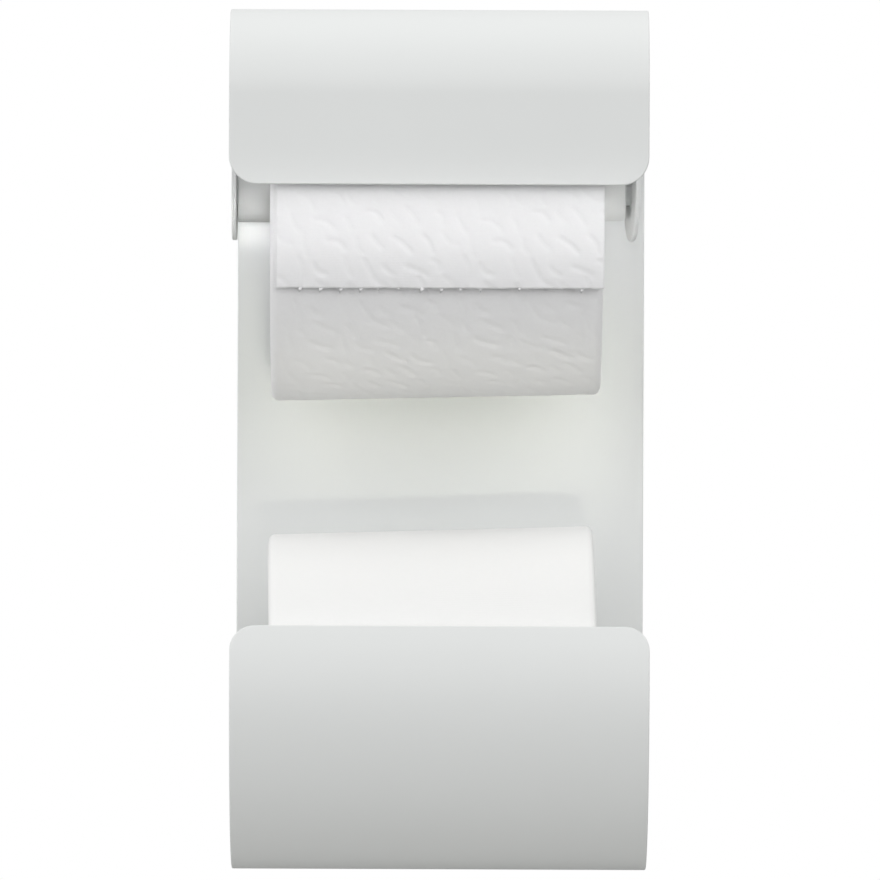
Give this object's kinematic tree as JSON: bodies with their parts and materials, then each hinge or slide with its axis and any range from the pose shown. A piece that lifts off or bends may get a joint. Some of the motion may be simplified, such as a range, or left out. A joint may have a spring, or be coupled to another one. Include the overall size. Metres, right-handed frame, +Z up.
{
  "type": "toilet roll holder",
  "caption": "Wall-mounted holder of white bent sheet steel: a hood over a roll on a sprung spindle, a flat back panel, and an open-ended round tray for a spare roll.",
  "frame": {"origin": "centre of the back panel's wall face, at mid-height of the holder", "axes": "+Y into the wall, -Y to the front, +X to the right as seen from the front, +Z up"},
  "size_m": [0.1267, 0.115, 0.2608],
  "materials": {
    "coated_steel": "matt white powder coat",
    "zinc_plated_steel": "bright zinc plating",
    "spring_steel": "drawn spring wire",
    "quilted_paper": "soft embossed tissue",
    "plain_paper": "smooth tissue",
    "cardboard": "grey spiral-wound card"
  },
  "bodies": {
    "root": {"back_panel": "coated_steel", "hood_cover": "coated_steel", "left_arm": "coated_steel", "right_arm": "coated_steel", "hood_washer_left": "zinc_plated_steel", "hood_washer_right": "zinc_plated_steel", "hood_nut_left": "zinc_plated_steel", "hood_nut_right": "zinc_plated_steel", "arm_washer_left": "zinc_plated_steel", "arm_washer_right": "zinc_plated_steel", "arm_nut_left": "zinc_plated_steel", "arm_nut_right": "zinc_plated_steel"},
    "spindle": {"spindle_outer_tube": "coated_steel", "spindle_spring": "spring_steel"},
    "spindle_end": {"spindle_inner_tube": "coated_steel"},
    "roll": {"roll_core": "cardboard", "roll_paper": "quilted_paper"},
    "tail": {"paper_tail": "quilted_paper"},
    "spare_roll": {"spare_core": "cardboard", "spare_paper": "plain_paper"}
  },
  "joints": [
    {"name": "spindle_turn", "type": "hinge", "parent": "root", "child": "spindle", "pos_m": [0, -0.057, 0.07671], "axis": [1, 0, 0], "continuous": true},
    {"name": "spindle_press", "type": "slide", "parent": "spindle", "child": "spindle_end", "axis": [1, 0, 0], "range_m": [-0.012, 0], "stiffness_N_per_m": 250, "springref_m": 0.012, "deforming": ["spindle_spring"]},
    {"name": "roll_turn", "type": "hinge", "parent": "root", "child": "roll", "pos_m": [-0.0014, -0.057, 0.06714], "axis": [0.9997, 0, 0.0227], "continuous": true},
    {"name": "tail_swing", "type": "hinge", "parent": "root", "child": "tail", "pos_m": [-0.0003, -0.11017, 0.0804], "axis": [-1, 0, 0], "range_deg": [0, 5]},
    {"name": "spare_slide", "type": "slide", "parent": "root", "child": "spare_roll", "axis": [1, 0, 0], "range_m": [-0.12, 0.12]}
  ]
}
